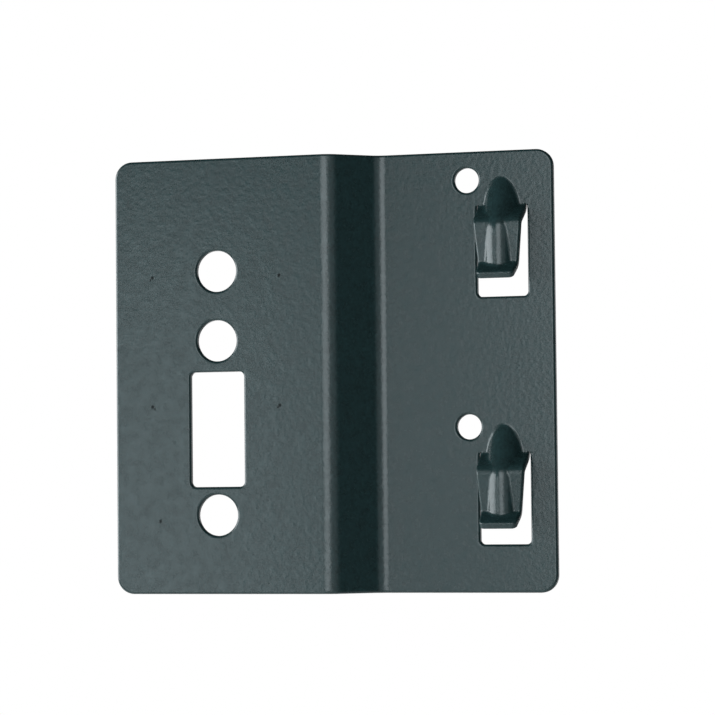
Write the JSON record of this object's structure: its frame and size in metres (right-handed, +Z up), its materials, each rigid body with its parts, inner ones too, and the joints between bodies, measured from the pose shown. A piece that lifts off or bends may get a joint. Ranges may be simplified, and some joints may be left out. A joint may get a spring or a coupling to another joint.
{
  "type": "power strip bracket",
  "caption": "Folded sheet steel bracket that hooks into a slotted rack upright and offers an offset, punched panel for fixing a power strip.",
  "frame": {"origin": "on the front face of the hook panel, on the column of the two hooks, at half the plate height", "axes": "+X from the mounting panel towards the hooked end, -Y out of the front face in the direction that the hooks stand out, +Z up as the bracket hangs"},
  "size_m": [0.0812, 0.0076, 0.0794],
  "materials": {
    "coated_steel": "satin dark grey powder coat with a fine even texture"
  },
  "bodies": {
    "root": {"bracket": "coated_steel"}
  },
  "joints": []
}
